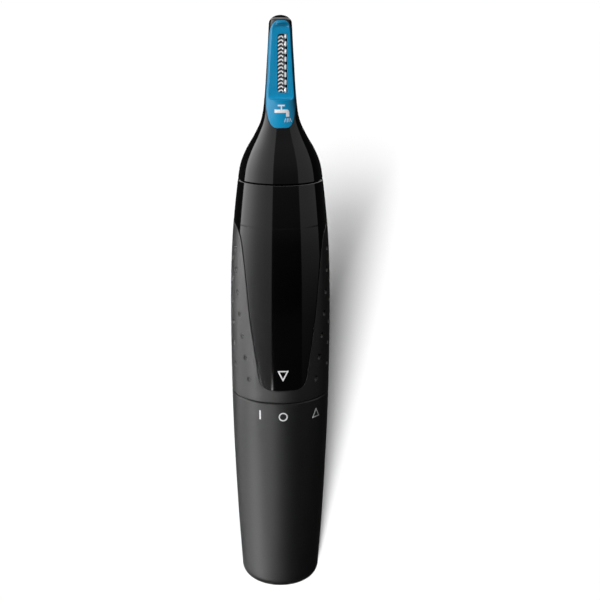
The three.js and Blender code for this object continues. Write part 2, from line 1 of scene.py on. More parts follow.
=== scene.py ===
"""Nose hair trimmer: the finished pieces, their materials, the studio and the camera.

Shapes are worked out in millimetres and written to meshes in metres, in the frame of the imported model:
+Z runs up the trimmer from the middle of its flat base, and its front faces -Y. An azimuth is an angle
round +Z from the front, positive towards +X.
"""

import json
import math

import bmesh
import bpy
import numpy as np
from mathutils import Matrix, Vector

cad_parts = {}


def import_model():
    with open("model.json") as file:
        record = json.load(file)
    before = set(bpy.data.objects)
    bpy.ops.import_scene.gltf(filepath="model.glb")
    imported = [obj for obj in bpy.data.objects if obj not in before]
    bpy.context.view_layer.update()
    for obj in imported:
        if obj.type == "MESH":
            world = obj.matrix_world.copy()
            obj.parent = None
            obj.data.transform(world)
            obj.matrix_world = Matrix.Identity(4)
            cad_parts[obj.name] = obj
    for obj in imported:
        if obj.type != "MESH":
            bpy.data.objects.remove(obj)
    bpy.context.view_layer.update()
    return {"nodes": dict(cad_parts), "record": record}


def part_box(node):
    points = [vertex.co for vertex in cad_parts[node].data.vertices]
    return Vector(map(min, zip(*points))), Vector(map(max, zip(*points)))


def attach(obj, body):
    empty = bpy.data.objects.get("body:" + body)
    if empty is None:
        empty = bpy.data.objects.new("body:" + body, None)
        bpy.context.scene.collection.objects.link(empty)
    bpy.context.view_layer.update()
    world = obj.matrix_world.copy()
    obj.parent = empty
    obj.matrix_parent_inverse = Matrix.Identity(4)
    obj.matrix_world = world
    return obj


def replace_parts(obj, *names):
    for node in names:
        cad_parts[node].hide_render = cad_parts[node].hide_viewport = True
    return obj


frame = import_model()

MM = 0.001

# ---- Sizes from the frame -----------------------------------------------------------------------


def low(node):
    """Lowest corner of a CAD node, in millimetres."""
    return np.array(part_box(node)[0]) / MM


def high(node):
    """Highest corner of a CAD node, in millimetres."""
    return np.array(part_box(node)[1]) / MM


HOUSING_TOP = high("battery_housing")[2]
HANDLE_BOTTOM = low("handle_shell")[2]
HANDLE_TOP = high("handle_shell")[2]
NECK_BOTTOM = low("neck_housing")[2]
LENGTH = high("neck_housing")[2]
GUARD_BOTTOM = low("guard_face")[2]
GUARD_TOP = high("guard_face")[2]

# The outer surface: radius at each height, joined by a smooth curve, as the CAD has it.
SILHOUETTE = np.array([
    [3.4, 10.1], [21, 11.2], [44, 12.16], [66, 12.5], [82, 12.38], [92, 11.95], [99.4, 11.3],
    [107.2, 10.38], [111, 9.7], [114.3, 8.34], [118, 6.22], [121.5, 4.65], [126.3, 3.89],
    [135.8, 3.22], [144, 2.75],
])
BASE_EDGE = SILHOUETTE[0, 0]
DOME_START = SILHOUETTE[-1, 0]
# The flat chamfers along the seams, which catch the light from above.
SEAM_LEDGE = 0.22
SHELL_LEDGE = 0.15
NECK_LEDGE = 0.06

# ---- The outer surface --------------------------------------------------------------------------


def skin(z):
    """Radius of the outer surface at a height, by cubic curves between the stations."""
    stations, radii = SILHOUETTE[:, 0], SILHOUETTE[:, 1]
    slopes = np.empty(len(stations))
    slopes[1:-1] = (radii[2:] - radii[:-2]) / (stations[2:] - stations[:-2])
    slopes[0] = (radii[1] - radii[0]) / (stations[1] - stations[0])
    slopes[-1] = (radii[-1] - radii[-2]) / (stations[-1] - stations[-2])
    i = np.clip(np.searchsorted(stations, z) - 1, 0, len(stations) - 2)
    h = stations[i + 1] - stations[i]
    t = (z - stations[i]) / h
    rise = radii[i + 1] - radii[i]
    bend = (slopes[i] * h - rise) * t * (1 - t) ** 2 + (slopes[i + 1] * h - rise) * t**2 * (t - 1)
    dome = radii[-1] * np.sqrt(np.clip(1 - ((z - DOME_START) / (LENGTH - DOME_START)) ** 2, 0, 1))
    return np.where(z > DOME_START, dome, radii[i] + rise * t + bend)


def on_skin(azimuth, z, proud=0.0):
    """Points on the outer surface, or standing proud of it, from azimuths in degrees and heights."""
    azimuth, z = np.broadcast_arrays(np.radians(azimuth), z)
    lean = np.arctan((skin(z + 0.05) - skin(z - 0.05)) / 0.1)
    radius = skin(z) + proud * np.cos(lean)
    return np.stack([radius * np.sin(azimuth), -radius * np.cos(azimuth), z - proud * np.sin(lean)], -1)


def ledge(azimuth, z, rise):
    """The flat chamfer at an end of a part, from a height on the skin: it falls back as far as it runs."""
    steps = np.linspace(0, 1, 3)[:, None]
    points = on_skin(azimuth, z + rise * steps, -abs(rise) * steps)
    return points if rise > 0 else points[::-1]


# ---- Mesh tools ---------------------------------------------------------------------------------


class Skin:
    """An open surface made of rectangular patches whose shared edges are merged."""

    def __init__(self):
        self.points, self.faces = [], []

    def add(self, grid):
        """Adds a patch: grid[row, column] are points, with columns running towards +azimuth."""
        rows, columns = grid.shape[:2]
        start = len(self.points)
        self.points.extend(grid.reshape(-1, 3).tolist())
        for i in range(rows - 1):
            for j in range(columns - 1):
                a = start + i * columns + j
                self.faces.append((a, a + 1, a + columns + 1, a + columns))

    def bmesh(self, tolerance=0.004):
        bm = bmesh.new()
        verts = [bm.verts.new(p) for p in self.points]
        for face in self.faces:
            bm.faces.new([verts[i] for i in face])
        bmesh.ops.remove_doubles(bm, verts=bm.verts, dist=tolerance)
        bmesh.ops.dissolve_degenerate(bm, edges=bm.edges, dist=tolerance / 4)
        bm.normal_update()
        return bm


def thicken(bm, thickness, roll, steps=4):
    """Closes an open surface into a shell: its edges roll over outwards, and walls lead to an inner skin."""
    normals = {v: v.normal.copy() for v in bm.verts}
    outwards = {}
    rim = [e for e in bm.edges if len(e.link_loops) == 1]
    for edge in rim:
        loop = edge.link_loops[0]
        start, end = loop.vert, loop.link_loop_next.vert
        direction = (end.co - start.co).normalized()
        for v in (start, end):
            side = direction.cross(normals[v])
            outwards[v] = outwards[v] + side if v in outwards else side
    for v in outwards:
        outwards[v].normalize()
    outer_faces = list(bm.faces)
    inner = {}
    for v in list(bm.verts):
        reach = outwards[v] * roll if v in outwards else v.co * 0
        inner[v] = bm.verts.new(v.co + reach - normals[v] * thickness)
    for face in outer_faces:
        bm.faces.new([inner[v] for v in reversed(face.verts)])
    rings = {}
    for v, side in outwards.items():
        angles = [math.pi / 2 * k / steps for k in range(1, steps + 1)]
        rolled = [v.co + side * roll * math.sin(a) - normals[v] * roll * (1 - math.cos(a)) for a in angles]
        rings[v] = [v] + [bm.verts.new(p) for p in rolled] + [inner[v]]
    for edge in rim:
        loop = edge.link_loops[0]
        start, end = loop.vert, loop.link_loop_next.vert
        for a0, a1, b0, b1 in zip(rings[start], rings[start][1:], rings[end], rings[end][1:]):
            bm.faces.new([b0, a0, a1, b1])
    return bm


def to_object(name, bm, sharp=35):
    """A mesh object in metres from a bmesh in millimetres, shaded smooth up to an angle in degrees."""
    bmesh.ops.recalc_face_normals(bm, faces=bm.faces)
    bmesh.ops.scale(bm, vec=(MM, MM, MM), verts=bm.verts)
    mesh = bpy.data.meshes.new(name)
    bm.to_mesh(mesh)
    bm.free()
    mesh.shade_smooth()
    mesh.set_sharp_from_angle(angle=math.radians(sharp))
    obj = bpy.data.objects.new(name, mesh)
    bpy.context.scene.collection.objects.link(obj)
    return obj


def lathe_bmesh(outline, segments=128, bm=None):
    """Turns a closed outline of (radius, height) points about Z. Points on the axis become one vertex."""
    bm = bm or bmesh.new()
    rings = []
    for radius, z in outline:
        if radius < 1e-6:
            rings.append([bm.verts.new((0, 0, z))] * segments)
            continue
        angles = np.arange(segments) * 2 * math.pi / segments
        rings.append([bm.verts.new((radius * math.cos(a), radius * math.sin(a), z)) for a in angles])
    for lower, upper in zip(rings, rings[1:] + rings[:1]):
        for j in range(segments):
            corners = [lower[j], lower[(j + 1) % segments], upper[(j + 1) % segments], upper[j]]
            corners = list(dict.fromkeys(corners))
            if len(corners) > 2:
                bm.faces.new(corners)
    return bm


def box_bmesh(bm, lowest, highest, turn=0.0):
    """Adds a box, turned about Z by an angle in degrees."""
    made = bmesh.ops.create_cube(bm, size=1)["verts"]
    size, middle = np.subtract(highest, lowest), np.add(highest, lowest) / 2
    c, s = math.cos(math.radians(turn)), math.sin(math.radians(turn))
    for v in made:
        x, y, z = np.array(v.co) * size + middle
        v.co = (c * x - s * y, s * x + c * y, z)


def arc(r, z, radius, start, end, steps=6):
    """Points of an arc in an outline, between two angles in degrees."""
    angles = np.radians(np.linspace(start, end, steps + 1))
    return [(r + radius * math.cos(a), z + radius * math.sin(a)) for a in angles]


# ---- Materials ----------------------------------------------------------------------------------


class Finish:
    """A Principled material whose colour, roughness and surface are worked out from the object's place."""

    def __init__(self, name, color, roughness, **sockets):
        self.material = bpy.data.materials.new(name)
        self.material.use_nodes = True
        self.tree = self.material.node_tree
        self.shader = self.tree.nodes["Principled BSDF"]
        self.shader.inputs["Base Color"].default_value = (*color, 1)
        self.shader.inputs["Roughness"].default_value = roughness
        for socket, value in sockets.items():
            self.shader.inputs[socket.replace("_", " ")].default_value = value
        self.place = self.tree.nodes.new("ShaderNodeTexCoord").outputs["Object"]
        self.normal = None

    def link(self, source, target):
        self.tree.links.new(source, target)

    def stretched(self, scale):
        mapping = self.tree.nodes.new("ShaderNodeMapping")
        mapping.inputs["Scale"].default_value = scale
        self.link(self.place, mapping.inputs["Vector"])
        return mapping.outputs["Vector"]

    def noise(self, size_mm, detail=3.0, stretch=(1, 1, 1)):
        """Soft noise whose features are about size_mm across."""
        node = self.tree.nodes.new("ShaderNodeTexNoise")
        node.inputs["Scale"].default_value = 1 / (size_mm * MM)
        node.inputs["Detail"].default_value = detail
        self.link(self.stretched(stretch), node.inputs["Vector"])
        return node.outputs["Fac"]

    def cells(self, size_mm):
        """Rounded cells, as spark-eroded mould texture leaves them."""
        node = self.tree.nodes.new("ShaderNodeTexVoronoi")
        node.inputs["Scale"].default_value = 1 / (size_mm * MM)
        self.link(self.place, node.inputs["Vector"])
        return node.outputs["Distance"]

    def spread(self, source, low_value, high_value, from_low=0.3, from_high=0.7):
        node = self.tree.nodes.new("ShaderNodeMapRange")
        node.inputs["From Min"].default_value = from_low
        node.inputs["From Max"].default_value = from_high
        node.inputs["To Min"].default_value = low_value
        node.inputs["To Max"].default_value = high_value
        self.link(source, node.inputs["Value"])
        return node.outputs["Result"]

    def colors(self, source, dark, light, from_low=0.3, from_high=0.7):
        """Colour that varies between two tones."""
        node = self.tree.nodes.new("ShaderNodeMix")
        node.data_type = "RGBA"
        node.inputs["A"].default_value = (*dark, 1)
        node.inputs["B"].default_value = (*light, 1)
        self.link(self.spread(source, 0, 1, from_low, from_high), node.inputs["Factor"])
        self.link(node.outputs["Result"], self.shader.inputs["Base Color"])
        return self

    def rough(self, source, smooth, coarse):
        self.link(self.spread(source, smooth, coarse), self.shader.inputs["Roughness"])
        return self

    def bump(self, source, height_mm, strength=1.0):
        node = self.tree.nodes.new("ShaderNodeBump")
        node.inputs["Strength"].default_value = strength
        node.inputs["Distance"].default_value = height_mm * MM
        self.link(source, node.inputs["Height"])
        if self.normal:
            self.link(self.normal, node.inputs["Normal"])
        self.normal = node.outputs["Normal"]
        self.link(self.normal, self.shader.inputs["Normal"])
        return self


def gloss_black():
    """Polished piano-black ABS: a deep mirror with the faintest wave and wiped-on haze."""
    finish = Finish("gloss_black", (0.001, 0.001, 0.001), 0.06, IOR=1.5)
    haze = finish.noise(9, 4, (1, 1, 0.35))
    finish.colors(finish.noise(14), (0.0008, 0.0008, 0.0009), (0.0012, 0.0012, 0.0013))
    finish.rough(haze, 0.045, 0.085)
    return finish.bump(finish.noise(3.5, 1), 0.002, 0.35)


def satin_black():
    """Moulded satin plastic with a fine spark-eroded grain."""
    finish = Finish("satin_black", (0.0015, 0.0015, 0.0015), 0.37, IOR=1.65)
    finish.colors(finish.noise(5, 5), (0.001, 0.001, 0.0011), (0.002, 0.002, 0.0021))
    finish.rough(finish.noise(1.1, 4), 0.33, 0.4)
    finish.bump(finish.cells(0.22), 0.02, 0.22)
    return finish.bump(finish.noise(0.12, 2), 0.01, 0.3)


def soft_black():
    """Soft-touch rubber moulded over the handle, slightly more open than the base's plastic."""
    finish = Finish("soft_black", (0.0015, 0.0015, 0.0016), 0.38, IOR=1.7)
    finish.colors(finish.noise(4, 5), (0.001, 0.001, 0.0011), (0.002, 0.002, 0.0021))
    finish.rough(finish.noise(0.8, 4), 0.34, 0.42)
    finish.bump(finish.cells(0.16), 0.02, 0.2)
    return finish.bump(finish.noise(0.09, 2), 0.01, 0.3)


def blue_plastic():
    """Satin cyan-blue plastic, its tone varying a little at random."""
    finish = Finish("blue_plastic", (0.0, 0.18, 0.35), 0.36, IOR=1.4)
    finish.colors(finish.noise(2.5, 3), (0.0, 0.175, 0.34), (0.0, 0.19, 0.36))
    finish.rough(finish.noise(0.6, 3), 0.32, 0.4)
    return finish.bump(finish.noise(0.1, 2), 0.004, 0.15)


def print_white():
    """Pad-printed light grey ink, slightly uneven in cover."""
    finish = Finish("print_white", (0.62, 0.63, 0.64), 0.5)
    return finish.colors(finish.noise(0.3, 4), (0.5, 0.51, 0.52), (0.68, 0.69, 0.7))


def metal(name, dark, light, smooth, coarse, grain_mm, stretch, metallic=1.0):
    """Drawn or ground metal: streaks along the grain in tone, roughness and surface."""
    finish = Finish(name, light, coarse, Metallic=metallic)
    streaks = finish.noise(grain_mm, 4, stretch)
    finish.colors(streaks, dark, light)
    finish.rough(streaks, smooth, coarse)
    return finish.bump(streaks, 0.004, 0.4)


def moulded(name, dark, light, roughness):
    """Plain moulded engineering plastic."""
    finish = Finish(name, light, roughness)
    finish.colors(finish.noise(3, 4), dark, light)
    finish.rough(finish.noise(0.7, 3), roughness - 0.06, roughness + 0.06)
    return finish.bump(finish.cells(0.2), 0.01, 0.2)


def cell_wrap():
    """The cell's printed sleeve: a dark green body with a copper-coloured shoulder band."""
    finish = Finish("cell_wrap", (0.02, 0.05, 0.035), 0.3, Coat_Weight=0.4)
    split = finish.tree.nodes.new("ShaderNodeSeparateXYZ")
    finish.link(finish.place, split.inputs["Vector"])
    edge = (low("battery_cell")[2] + 36) * MM
    finish.colors(split.outputs["Z"], (0.015, 0.05, 0.035), (0.55, 0.27, 0.12), edge, edge + 0.05 * MM)
    finish.rough(finish.noise(1.5), 0.22, 0.32)
    return finish.bump(finish.noise(2.5, 2), 0.01, 0.15)


# How the streaks of a metal are stretched along X, Y and Z.
GROUND_ACROSS = (1, 1, 6)
DRAWN_ALONG = (1, 1, 0.15)
HALF_METAL = 0.4

FINISHES = {
    "gloss_black": gloss_black(),
    "satin_black": satin_black(),
    "soft_black": soft_black(),
    "blue_plastic": blue_plastic(),
    "print_white": print_white(),
    "blade_steel": metal(
        "blade_steel", (0.75, 0.75, 0.76), (0.95, 0.95, 0.95), 0.3, 0.42, 0.12, GROUND_ACROSS, HALF_METAL
    ),
    # painted shade: a dark steel tone for the blade in the shaded space behind the comb, so that its gaps
    # read black
    "shade_painted_steel": metal(
        "shade_painted_steel", (0.1, 0.1, 0.105), (0.2, 0.2, 0.21), 0.4, 0.5, 0.12, GROUND_ACROSS, HALF_METAL
    ),
    "steel": metal("steel", (0.38, 0.39, 0.4), (0.6, 0.61, 0.62), 0.2, 0.36, 0.4, DRAWN_ALONG),
    "brass": metal("brass", (0.5, 0.34, 0.12), (0.72, 0.53, 0.22), 0.22, 0.38, 0.4, DRAWN_ALONG),
    "copper": metal("copper", (0.4, 0.14, 0.06), (0.62, 0.27, 0.13), 0.25, 0.4, 0.3, (1, 1, 8)),
    "dark_plastic": moulded("dark_plastic", (0.018, 0.018, 0.02), (0.03, 0.031, 0.034), 0.5),
    "white_plastic": moulded("white_plastic", (0.6, 0.6, 0.56), (0.7, 0.7, 0.67), 0.42),
    "seal_rubber": moulded("seal_rubber", (0.008, 0.008, 0.008), (0.014, 0.014, 0.014), 0.6),
    "cell_wrap": cell_wrap(),
    "ferrite": moulded("ferrite", (0.03, 0.03, 0.032), (0.06, 0.06, 0.062), 0.6),
}


def wear(obj, finish):
    """Gives an object its finish."""
    obj.data.materials.clear()
    obj.data.materials.append(FINISHES[finish].material)
    return obj


# ---- Battery base -------------------------------------------------------------------------------

HOUSING_WALL = 1.5
HOUSING_FLOOR = 1.8
DISH = 0.25  # how far the middle of the base's underside is hollowed
RIB_TOP = 36
KEY_HEIGHTS = (40, 49.8)


def battery_housing():
    """The lower cup: satin outside, with cell ribs and two drive keys inside."""
    chamfer = HOUSING_TOP - SEAM_LEDGE
    heights = np.linspace(BASE_EDGE, chamfer, 60)
    inner_heights = np.linspace(HOUSING_TOP - 0.2, HOUSING_FLOOR + 1, 24)
    outline = [(0, DISH), (5.2, DISH), (5.6, 0)]
    outline += arc(skin(BASE_EDGE) - BASE_EDGE, BASE_EDGE, BASE_EDGE, -90, 0, 10)
    outline += [(skin(z), z) for z in heights[1:]]
    outline += [(skin(HOUSING_TOP) - SEAM_LEDGE, HOUSING_TOP)]
    outline += [(skin(HOUSING_TOP) - HOUSING_WALL + 0.2, HOUSING_TOP)]
    outline += [(skin(z) - HOUSING_WALL, z) for z in inner_heights]
    outline += [(skin(HOUSING_FLOOR) - HOUSING_WALL - 1, HOUSING_FLOOR), (0, HOUSING_FLOOR)]
    bm = lathe_bmesh(outline)
    for turn in (45, 135, 225, 315):
        box_bmesh(bm, (7.5, -0.5, HOUSING_FLOOR - 0.2), (8.9, 0.5, RIB_TOP), turn)
    for turn in (0, 180):
        box_bmesh(bm, (9.75, -0.9, KEY_HEIGHTS[0]), (10.9, 0.9, KEY_HEIGHTS[1]), turn)
    obj = wear(to_object("battery_housing_skin", bm), "satin_black")
    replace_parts(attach(obj, "battery_base"), "battery_housing")


# ---- Handle: glossy shell and soft grip ---------------------------------------------------------

PANEL_BOTTOM = 56.1
APEX = 96.6
# Half width of the glossy panel, as seen from the front, at each height.
PANEL_EDGE = np.array([
    [PANEL_BOTTOM, 3.1], [56.35, 4.1], [56.9, 5.0], [57.8, 5.55], [59.1, 5.9], [64, 6.65], [74, 8.05],
    [84, 8.98], [90.5, 9.6], [93.4, 10.0], [95.2, 10.65], [96.1, 11.1], [APEX, 11.58],
])
EDGE_GAP = 0.05  # half of the parting line between shell and grip
EDGE_ROLL = 0.12


def smooth_through(stations, z):
    """Values at heights z from a list of [height, value], along a smooth monotone curve."""
    h, v = stations[:, 0], stations[:, 1]
    rises = np.diff(v) / np.diff(h)
    slopes = np.zeros(len(v))
    both = rises[:-1] * rises[1:] > 0
    slopes[1:-1][both] = 2 / (1 / rises[:-1][both] + 1 / rises[1:][both])
    slopes[0], slopes[-1] = rises[0], rises[-1]
    i = np.clip(np.searchsorted(h, z) - 1, 0, len(h) - 2)
    step = h[i + 1] - h[i]
    t = np.clip((z - h[i]) / step, 0, 1)
    rise = v[i + 1] - v[i]
    bend = (slopes[i] * step - rise) * t * (1 - t) ** 2 + (slopes[i + 1] * step - rise) * t**2 * (t - 1)
    return v[i] + rise * t + bend


def panel_azimuth(z, grow=0.0):
    """Azimuth of the panel's edge at a height, moved outwards by grow millimetres."""
    half = smooth_through(PANEL_EDGE, np.clip(z, PANEL_BOTTOM, APEX)) + grow
    return np.degrees(np.arcsin(np.clip(half / skin(z), -1, 1)))


GRIP_WALL = 0.75
SHELL_WALL = 1.9
LEAF_CORNER = 3.0  # radius of the panel's lower corners
GRIP_ROW = 0.13  # row height of the grip's mesh, fine enough for the dimples
DIMPLE_ROWS = 13
DIMPLE_RADIUS = 0.68
DIMPLE_DEPTH = 0.42
NUB_RADIUS = 0.26


def dimples():
    """Azimuth and height of each grip dimple on the +X side: five staggered columns."""
    found = []
    for k in range(DIMPLE_ROWS):
        step = k / 2
        z = 58.2 + 5.4 * step
        first = 42 + 5.3 * step - 0.12 * step**2
        spacing = (90 - first) / 2
        columns = (0, 2, 4) if k % 2 == 0 else (1, 3)
        found += [(first + c * spacing, z) for c in columns]
    return found


def dimple_depth(azimuth, z):
    """How far the grip's surface sinks at a place, on the +X side."""
    depth = np.zeros(np.broadcast(azimuth, z).shape)
    for a, height in dimples():
        across = np.radians(azimuth - a) * skin(height)
        distance = np.hypot(across, z - height) / DIMPLE_RADIUS
        nub = 0.75 * np.clip(1 - (distance * DIMPLE_RADIUS / NUB_RADIUS) ** 2, 0, 1)
        depth += DIMPLE_DEPTH * (np.sqrt(np.clip(1 - distance**2, 0, 1)) - nub)
    return depth


def grip_sleeve():
    """The soft grip: a leaf on each side, joined by a band under the panels."""
    surface = Skin()
    bottom = HANDLE_BOTTOM + SEAM_LEDGE + EDGE_ROLL / 2
    band_rows = np.linspace(bottom, PANEL_BOTTOM - EDGE_GAP - EDGE_ROLL, 12)
    corner = np.radians(np.linspace(0, 90, 24))
    low_rows = band_rows[-1] + LEAF_CORNER * (1 - np.cos(corner))
    high_rows = APEX - 0.25 - 1.8 * (1 - np.sin(corner[6:]))
    middle = np.arange(low_rows[-1] + GRIP_ROW, high_rows[0], GRIP_ROW)
    leaf_rows = np.concatenate([low_rows, middle, high_rows])
    grow = EDGE_GAP + EDGE_ROLL

    def leaf(rows, count=190):
        start = panel_azimuth(rows, grow)[:, None]
        share = np.linspace(0, 1, count)[None, :]
        azimuth = start + (180 - 2 * start) * share
        z = np.broadcast_to(rows[:, None], azimuth.shape)
        return azimuth, z

    azimuth, z = leaf(np.concatenate([band_rows, leaf_rows[1:]]))
    sunk = -dimple_depth(azimuth, z)
    right = on_skin(azimuth, z, sunk)
    left = right[:, ::-1] * (-1, 1, 1)
    low_right = ledge(azimuth[:1], bottom, -SEAM_LEDGE)
    surface.add(right)
    surface.add(left)
    surface.add(low_right)
    surface.add(low_right[:, ::-1] * (-1, 1, 1))
    edge = panel_azimuth(band_rows[:1], grow)[0]
    across = np.linspace(-edge, edge, 25)
    front = on_skin(across[None, :], band_rows[:, None])
    surface.add(front)
    surface.add(front * (-1, -1, 1))
    low_front = ledge(across[None, :], bottom, -SEAM_LEDGE)
    surface.add(low_front)
    surface.add(low_front * (-1, -1, 1))
    bm = thicken(surface.bmesh(), GRIP_WALL, EDGE_ROLL)
    obj = wear(to_object("grip_sleeve_skin", bm), "soft_black")
    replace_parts(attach(obj, "handle"), "grip_sleeve")


def handle_shell():
    """The glossy shell: a panel on the front and the back, and a full ring above the grip."""
    surface = Skin()
    corner = np.radians(np.linspace(0, 90, 24))
    rows = np.concatenate([
        PANEL_BOTTOM + EDGE_GAP + EDGE_ROLL + LEAF_CORNER * (1 - np.cos(corner)),
        np.arange(59.6, 94.6, 0.5),
        APEX - 2.0 * (1 - np.sin(np.radians(np.linspace(2, 90, 22)))),
        np.linspace(APEX + 0.4, HANDLE_TOP - SHELL_LEDGE - EDGE_ROLL, 22),
    ])
    edge = panel_azimuth(rows, -EDGE_GAP - EDGE_ROLL)
    edge[rows >= APEX - 1e-6] = 90
    azimuth = edge[:, None] * np.linspace(-1, 1, 65)[None, :]
    front = on_skin(azimuth, rows[:, None])
    surface.add(front)
    surface.add(front * (-1, -1, 1))
    chamfer = ledge(azimuth[-1:], rows[-1], SHELL_LEDGE)
    surface.add(chamfer)
    surface.add(chamfer * (-1, -1, 1))
    bm = thicken(surface.bmesh(), SHELL_WALL, EDGE_ROLL)
    shoulder = HANDLE_TOP - 0.35
    lathe_bmesh([(7.95, shoulder), (9.2, shoulder), (9.2, shoulder - 1), (7.95, shoulder - 1)], bm=bm)
    obj = wear(to_object("handle_shell_skin", bm), "gloss_black")
    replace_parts(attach(obj, "handle"), "handle_shell")


# ---- Cutting head: glossy neck and blue guard ---------------------------------------------------

# Half width of the blue guard, as seen from the front, at each height.
GUARD_EDGE = np.array([
    [GUARD_BOTTOM, 1.2], [120.15, 1.75], [120.6, 2.4], [121.6, 2.95], [123.2, 3.35], [125.5, 3.6],
    [127.5, 3.58], [130, 3.4], [136, 3.08], [140.5, 2.86], [142.6, 2.55], [143.8, 2.1], [144.5, 1.55],
    [GUARD_TOP, 0.8],
])
FACE_BOTTOM = np.array([-2.17, 127.6])  # y and z where the flat face begins, above its ramp
FACE_TOP = np.array([-1.85, 145.2])
GUARD_WALL = 0.7
NECK_WALL = 1.3
HEAD_ROLL = 0.1  # how far the edges of the guard and the neck are rolled
RAMP = 1.2  # height of the ramp at the foot of the flat face
LIP = 0.3  # width of the rim round the flat face
LIP_RAMP = np.array([0.3, 1.3])  # how far its inner slope runs, at the sides and at the top
SLOT_SIDES = np.array([-0.78, 1.52])
SLOT_ENDS = np.array([127.8, 141.9])
SLOT_CORNERS = np.array([0.85, 0.3])  # the left corners are well rounded, the right ones nearly square


def guard_half_width(z):
    half = smooth_through(GUARD_EDGE, np.clip(z, GUARD_BOTTOM, GUARD_TOP))
    return np.minimum(half, skin(z) * 0.985)


def guard_azimuth(z, grow):
    """Azimuth of the guard's edge at a height, moved outwards by grow millimetres along the skin."""
    radius = skin(z)
    return np.degrees(np.arcsin(guard_half_width(z) / radius) + grow / radius)


def guard_front(x, z):
    """The guard's surface: the round of the tube, cut back to a flat face with a ramp at its foot."""
    x, z = np.broadcast_arrays(x, z)
    radius = skin(z) + 0.04
    round_y = -np.sqrt(np.maximum(radius**2 - x**2, 0.01))
    along = (z - FACE_BOTTOM[1]) / (FACE_TOP[1] - FACE_BOTTOM[1])
    drop = np.clip((FACE_BOTTOM[1] - z) / RAMP, 0, 1)
    face_y = FACE_BOTTOM[0] + (FACE_TOP[0] - FACE_BOTTOM[0]) * along - RAMP * (1 - np.sqrt(1 - drop**2))
    face_y = np.where(drop >= 1, -9, face_y)
    softness = 0.12
    gap = face_y - round_y
    cut_y = round_y + 0.5 * (gap + np.sqrt(gap**2 + softness**2)) - 0.5 * softness
    from_side = (guard_half_width(z) - np.abs(x) - LIP) / LIP_RAMP[0]
    from_top = (GUARD_TOP - LIP - z) / LIP_RAMP[1]
    from_side, from_top = np.maximum(from_side, 0), np.maximum(from_top, 0)
    lip = np.clip(from_side + from_top - np.hypot(from_side, from_top), 0, 1)
    lip = lip * lip * (3 - 2 * lip)
    y = round_y + (np.maximum(cut_y, round_y) - round_y) * lip
    return np.stack([x, y, z], -1)


def guard_face():
    """The blue front of the tube, with its flat face and the cutter slot."""
    roll = HEAD_ROLL
    surface = Skin()
    arcs = np.radians(np.linspace(0, 90, 22))
    foot = GUARD_BOTTOM + roll + 3 * (1 - np.cos(arcs))
    crown = GUARD_TOP - roll - 2 * (1 - np.sin(arcs))
    inset = roll * 0.6
    ends = [SLOT_ENDS[0] + roll, SLOT_ENDS[1] - roll]
    turn = SLOT_CORNERS[0] * (1 - np.cos(arcs))
    rows_below = np.concatenate([foot, np.arange(foot[-1] + 0.2, ends[0] - 0.05, 0.18)])
    rows_slot = np.concatenate([
        ends[0] + turn, np.linspace(ends[0] + 1, ends[1] - 1, 70), (ends[1] - turn)[::-1],
    ])
    rows_above = crown[crown > ends[1] + 0.2]

    def slot_side(z, side):
        corner = SLOT_CORNERS[side]
        near = np.minimum(z - ends[0], ends[1] - z)
        into = np.clip(corner - near, 0, corner)
        pull = corner - np.sqrt(np.maximum(corner**2 - into**2, 0))
        return SLOT_SIDES[side] - roll + pull if side == 0 else SLOT_SIDES[side] + roll - pull

    def patch(rows, start, end, count):
        share = np.linspace(0, 1, count)[None, :]
        x = start[:, None] + (end - start)[:, None] * share
        return guard_front(x, rows[:, None] + 0 * x)

    def half_width(rows):
        return skin(rows) * np.sin(np.radians(guard_azimuth(rows, -inset)))

    def full(rows):
        half = half_width(rows)
        left = np.full(len(rows), slot_side(ends[0], 0))
        right = np.full(len(rows), slot_side(ends[0], 1))
        keep = np.minimum(left, half * 0.2), np.minimum(right, half * 0.75)
        left, right = np.maximum(keep[0], -half * 0.5), keep[1]
        return half, left, right

    for rows, has_slot in ((rows_below, False), (rows_slot, True), (rows_above, False)):
        if has_slot:
            half = half_width(rows)
            left, right = slot_side(rows, 0), slot_side(rows, 1)
        else:
            below = rows is rows_below
            rows = np.concatenate([rows, ends[:1]] if below else [ends[1:], rows])
            half, left, right = full(rows)
            surface.add(patch(rows, left, right, 15))
        surface.add(patch(rows, -half, left, 41))
        surface.add(patch(rows, right, half, 33))
    bm = thicken(surface.bmesh(0.002), GUARD_WALL, roll, 3)
    obj = wear(to_object("guard_face_skin", bm), "blue_plastic")
    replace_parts(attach(obj, "cutting_head"), "guard_face")


